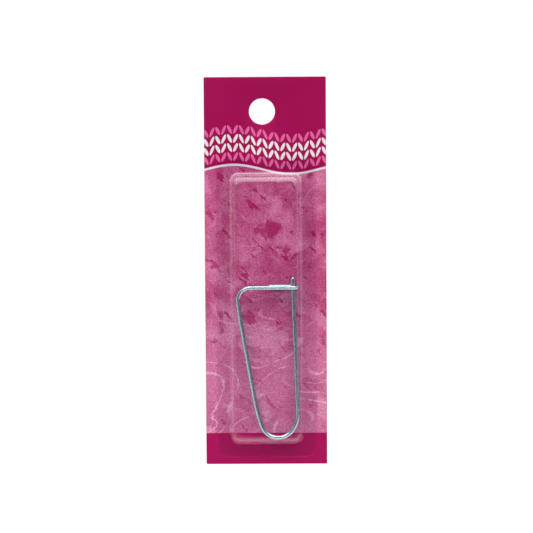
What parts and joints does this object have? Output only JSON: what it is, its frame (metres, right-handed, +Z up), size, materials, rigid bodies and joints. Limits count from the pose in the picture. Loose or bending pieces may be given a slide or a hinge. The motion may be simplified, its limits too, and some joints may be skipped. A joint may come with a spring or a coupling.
{
  "type": "stitch holder on hang card",
  "caption": "Bent-wire knitting stitch holder with a sprung pin and hairpin catch, loose in a clear blister on a hang card.",
  "frame": {"origin": "centre of the hang hole, half-way through the card's thickness", "axes": "+Z up along the card's long side, +X to the right of the printed face, +Y into the card, so the printed face and the bubble look along -Y"},
  "size_m": [0.0351, 0.0059, 0.112],
  "materials": {
    "printed_board": "gloss-coated board, printed magenta on the front, plain grey-white on the back and edges",
    "clear_film": "clear thermoformed film, glossy",
    "anodised_wire": "pale blue-grey anodised, satin to bright"
  },
  "bodies": {
    "pack": {"backing_card": "printed_board", "blister": "clear_film"},
    "holder": {"standing_leg": "anodised_wire", "shoulder_bend": "anodised_wire", "cross_bar": "anodised_wire", "catch_hook": "anodised_wire", "spring_bend": "anodised_wire"},
    "pin": {"pin_leg": "anodised_wire"}
  },
  "joints": [
    {"name": "holder_slide", "type": "slide", "parent": "pack", "child": "holder", "axis": [0, 0, 1], "range_m": [0, 0.0288]},
    {"name": "pin_swing", "type": "hinge", "parent": "holder", "child": "pin", "pos_m": [0.00548, -0.0025, -0.09189], "axis": [0, -1, 0], "range_deg": [0, 12], "stiffness_Nm_per_rad": 0.2, "deforming": ["spring_bend"]}
  ]
}
